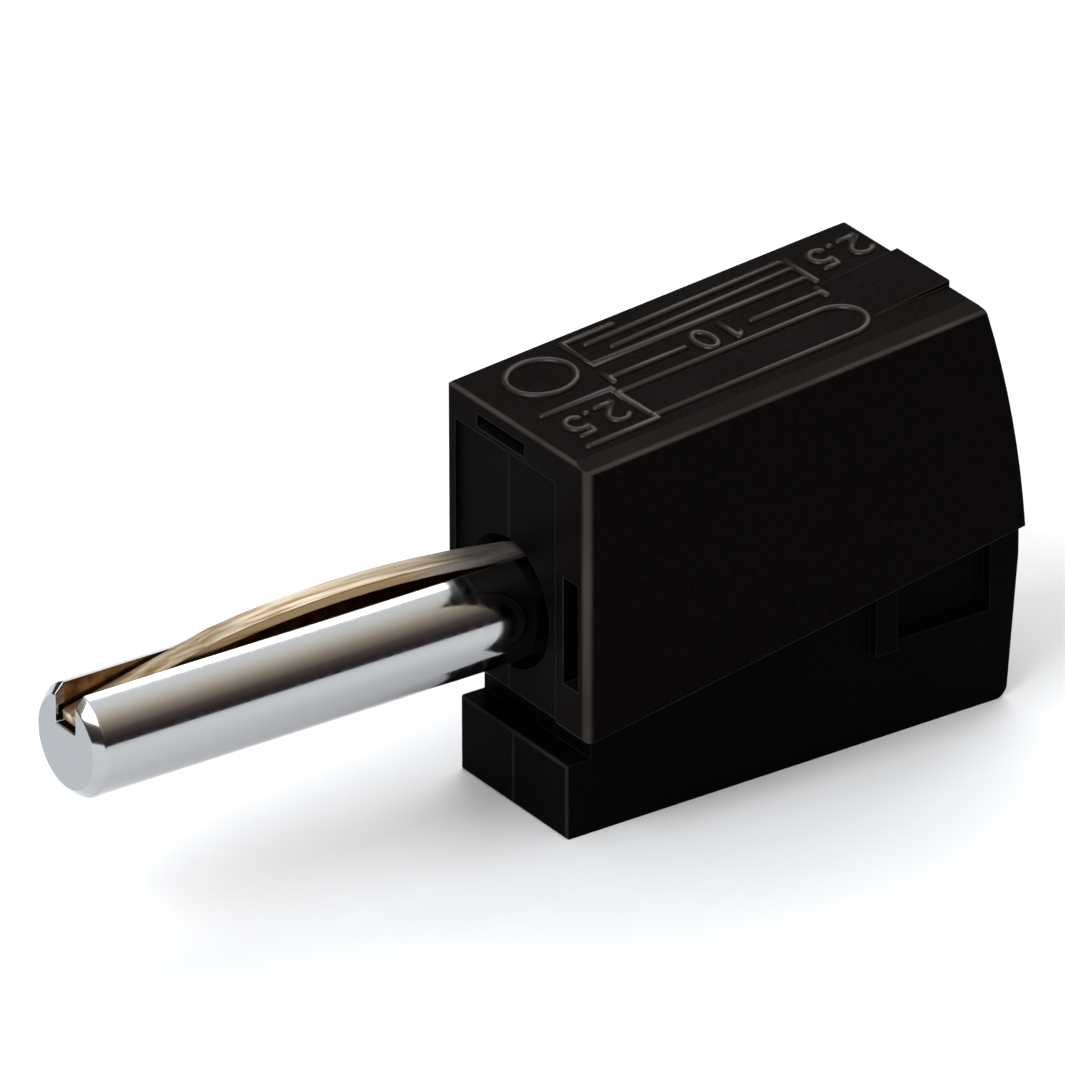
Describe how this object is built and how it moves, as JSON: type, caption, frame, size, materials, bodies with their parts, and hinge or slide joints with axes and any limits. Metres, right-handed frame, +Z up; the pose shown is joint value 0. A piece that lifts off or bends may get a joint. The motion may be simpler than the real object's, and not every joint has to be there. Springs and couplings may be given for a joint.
{
  "type": "banana plug",
  "caption": "Plug with a slotted round pin, a bowed contact leaf and a tool-operated spring clamp for a bare wire, in a black moulded housing.",
  "frame": {"origin": "on the pin's axis, where the pin leaves the front plane of the housing", "axes": "+X along the pin to its tip, +Y to the thick side wall of the hood, +Z up from the base"},
  "size_m": [0.0366, 0.0082, 0.0162],
  "materials": {
    "carrier_plastic": "moulded, fine matt",
    "hood_plastic": "moulded, satin",
    "pin_plate": "turned and nickel plated, bright",
    "leaf_bronze": "rolled spring bronze, bright",
    "bar_copper": "rolled, plain",
    "spring_steel": "rolled spring strip"
  },
  "bodies": {
    "housing": {"carrier_left": "carrier_plastic", "carrier_right": "carrier_plastic", "hood": "hood_plastic", "plug_pin": "pin_plate", "current_bar": "bar_copper"},
    "leaf": {"contact_leaf": "leaf_bronze"},
    "clamp": {"clamp_spring": "spring_steel"}
  },
  "joints": [
    {"name": "leaf_press", "type": "hinge", "parent": "housing", "child": "leaf", "pos_m": [0.01715, 0, 0.00077], "axis": [0, -1, 0], "range_deg": [0, 4], "stiffness_Nm_per_rad": 0.4},
    {"name": "clamp_open", "type": "hinge", "parent": "housing", "child": "clamp", "pos_m": [-0.00778, 0, 0.00026], "axis": [0, -1, 0], "range_deg": [0, 20], "stiffness_Nm_per_rad": 0.2, "deforming": ["clamp_spring"]}
  ]
}
